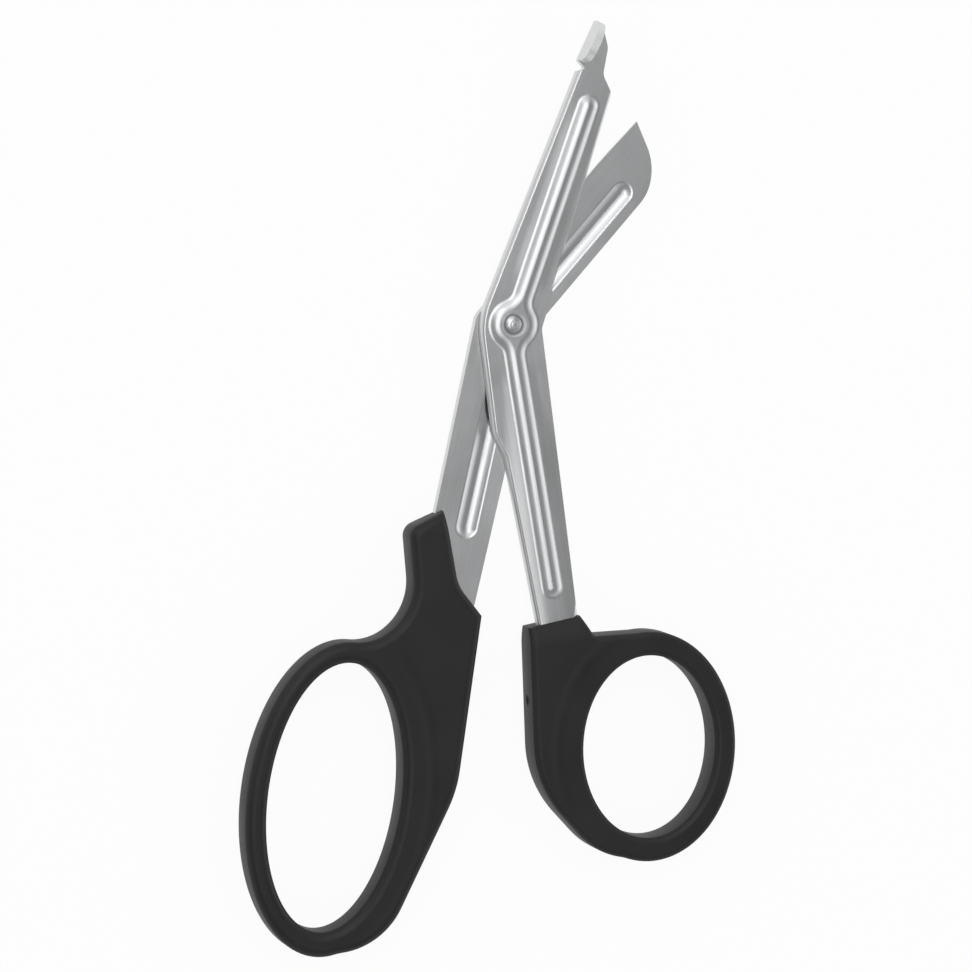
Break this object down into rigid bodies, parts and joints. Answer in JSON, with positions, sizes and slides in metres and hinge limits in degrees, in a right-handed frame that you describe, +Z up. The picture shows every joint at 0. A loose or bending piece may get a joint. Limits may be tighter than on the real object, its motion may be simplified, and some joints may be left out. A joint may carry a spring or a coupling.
{
  "type": "bandage scissors",
  "caption": "Angled bandage scissors with pressed steel blades, a blunt folded foot on the front tip and black moulded bows for thumb and fingers.",
  "frame": {"origin": "below the middle of the scissors' box, on the plane of the handles' undersides", "axes": "+Y from the handles towards the blade tips, +X from the finger bow towards the thumb bow, +Z up from the table"},
  "size_m": [0.0994, 0.1812, 0.0113],
  "materials": {
    "blade_steel": "satin",
    "rivet_steel": "satin",
    "handle_plastic": "matte"
  },
  "bodies": {
    "front_half": {"front_blade": "blade_steel", "thumb_bow": "handle_plastic", "pivot_rivet": "rivet_steel"},
    "back_half": {"back_blade": "blade_steel", "finger_bow": "handle_plastic"}
  },
  "joints": [
    {"name": "blade_hinge", "type": "hinge", "parent": "front_half", "child": "back_half", "pos_m": [0.00445, 0.03173, 0.00425], "axis": [0, 0, -1], "range_deg": [-9.4, 45]}
  ]
}
